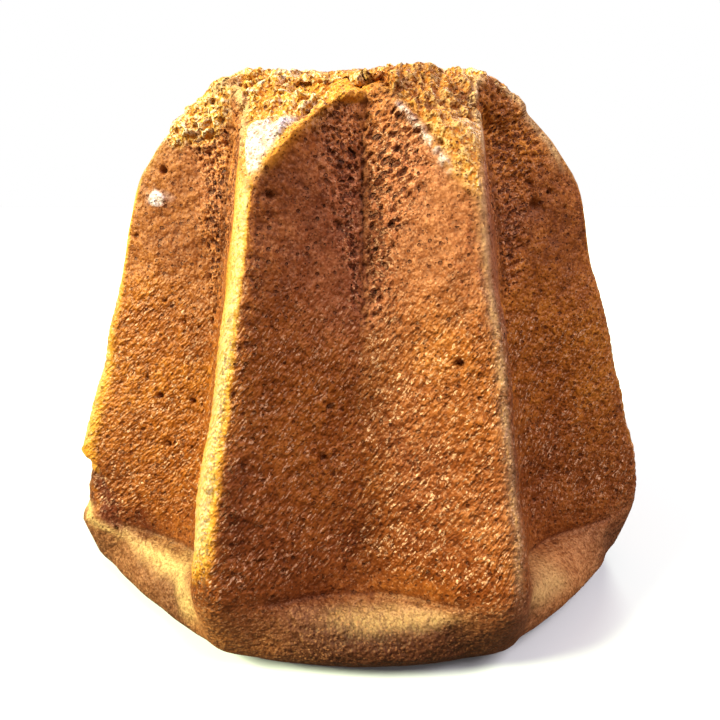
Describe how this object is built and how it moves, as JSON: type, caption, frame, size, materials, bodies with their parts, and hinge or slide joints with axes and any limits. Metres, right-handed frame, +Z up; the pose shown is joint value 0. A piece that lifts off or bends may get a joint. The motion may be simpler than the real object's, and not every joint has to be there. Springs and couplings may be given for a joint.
{
  "type": "pandoro",
  "caption": "Tall star-shaped sweet yeast cake with browned, ridged sides that narrow to a small torn flat top, standing on a round rolled foot.",
  "frame": {"origin": "middle of the underside, on the surface the cake stands on", "axes": "+Z up through the middle of the cake; -Y towards the picture's camera, along a valley between two ridges; +X to the picture's right"},
  "size_m": [0.191, 0.1842, 0.16],
  "materials": {
    "crust": "matte browned crust with pale torn crumb at the top"
  },
  "bodies": {
    "root": {"pandoro": "crust"}
  },
  "joints": []
}
